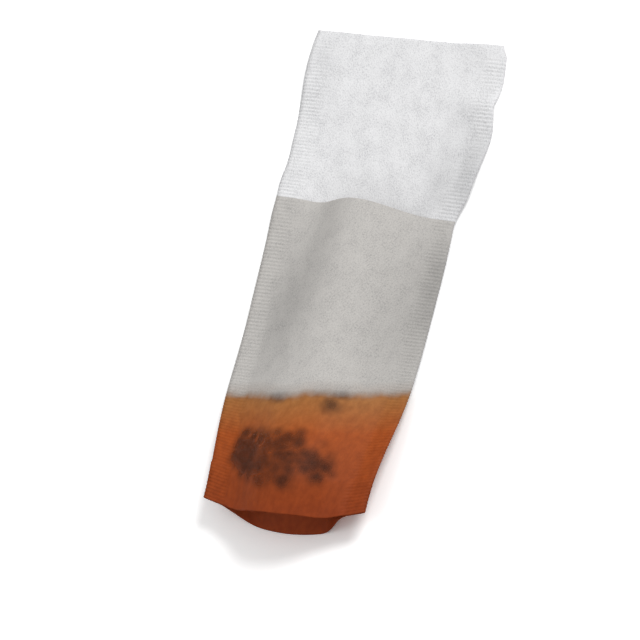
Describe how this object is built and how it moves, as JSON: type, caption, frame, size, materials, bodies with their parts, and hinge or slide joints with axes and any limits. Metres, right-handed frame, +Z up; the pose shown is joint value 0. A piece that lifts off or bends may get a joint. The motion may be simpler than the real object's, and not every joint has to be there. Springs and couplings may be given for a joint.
{
  "type": "tea filter bag",
  "caption": "Slim one-cup paper filter bag with crimped side seams, a long single-ply flap, an open mouth and a pleated base, holding wet tea leaves.",
  "frame": {"origin": "middle of the bag's footprint, on the surface that it lies on", "axes": "+X across the bag, +Y from the base fold to the end of the flap, +Z up out of the front ply"},
  "size_m": [0.0552, 0.14, 0.0172],
  "materials": {
    "filter_paper": "matt, fine-fibred, crimped at the seams, wet and tea-stained toward the base",
    "wet_leaves": "dark, curled and wet"
  },
  "bodies": {
    "root": {"filter_bag": "filter_paper", "tea_leaves": "wet_leaves"}
  },
  "joints": []
}
